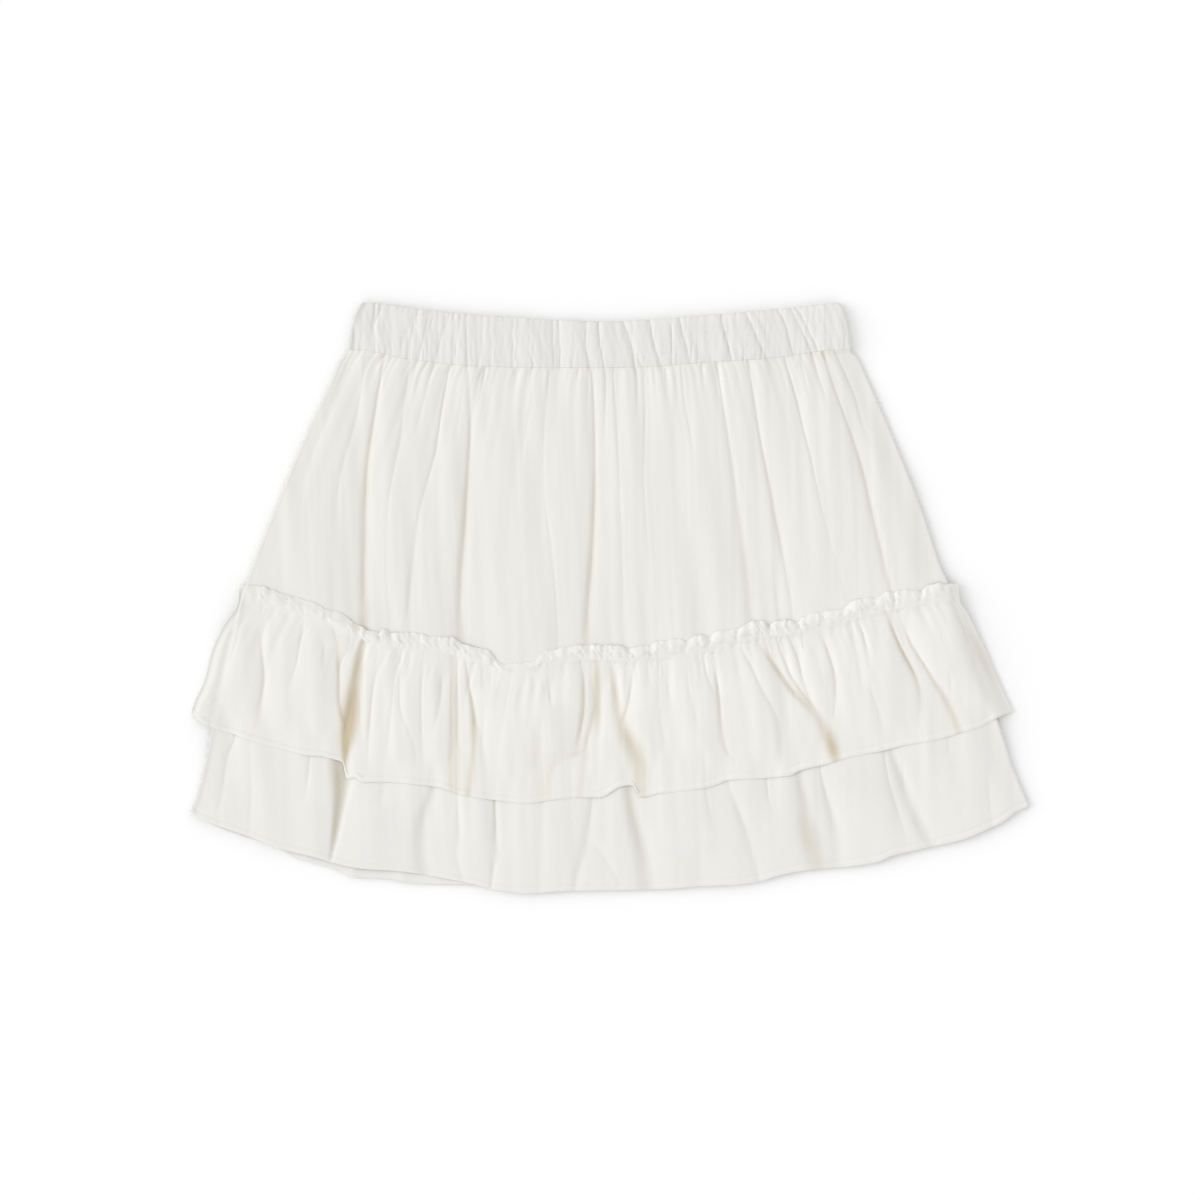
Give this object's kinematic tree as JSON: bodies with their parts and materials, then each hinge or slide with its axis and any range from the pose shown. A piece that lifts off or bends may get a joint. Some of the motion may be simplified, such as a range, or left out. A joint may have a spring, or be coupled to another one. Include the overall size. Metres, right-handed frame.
{
  "type": "tiered ruffle skirt",
  "caption": "Short gathered skirt lying flat, with an elasticated waistband, a full body, an upper ruffle with a frilled heading and a lower ruffle tier.",
  "frame": {"origin": "on the surface that the skirt lies on, under the centre of its bounding box", "axes": "+X to the right of the front as it is looked at, +Y up the skirt towards the waistband, +Z out of the surface, from the back to the front"},
  "size_m": [0.5592, 0.3935, 0.0157],
  "materials": {
    "waistband": "matt ivory crinkled viscose, gathered over elastic",
    "body": "matt ivory crinkled viscose, softly gathered",
    "ruffle": "matt ivory crinkled viscose, gathered frill with a narrow turned hem"
  },
  "bodies": {
    "root": {"waistband_front": "waistband", "waistband_back": "waistband", "skirt_front": "body", "skirt_back": "body", "ruffle_upper_front": "ruffle", "ruffle_upper_back": "ruffle", "ruffle_lower_front": "ruffle", "ruffle_lower_back": "ruffle"}
  },
  "joints": []
}
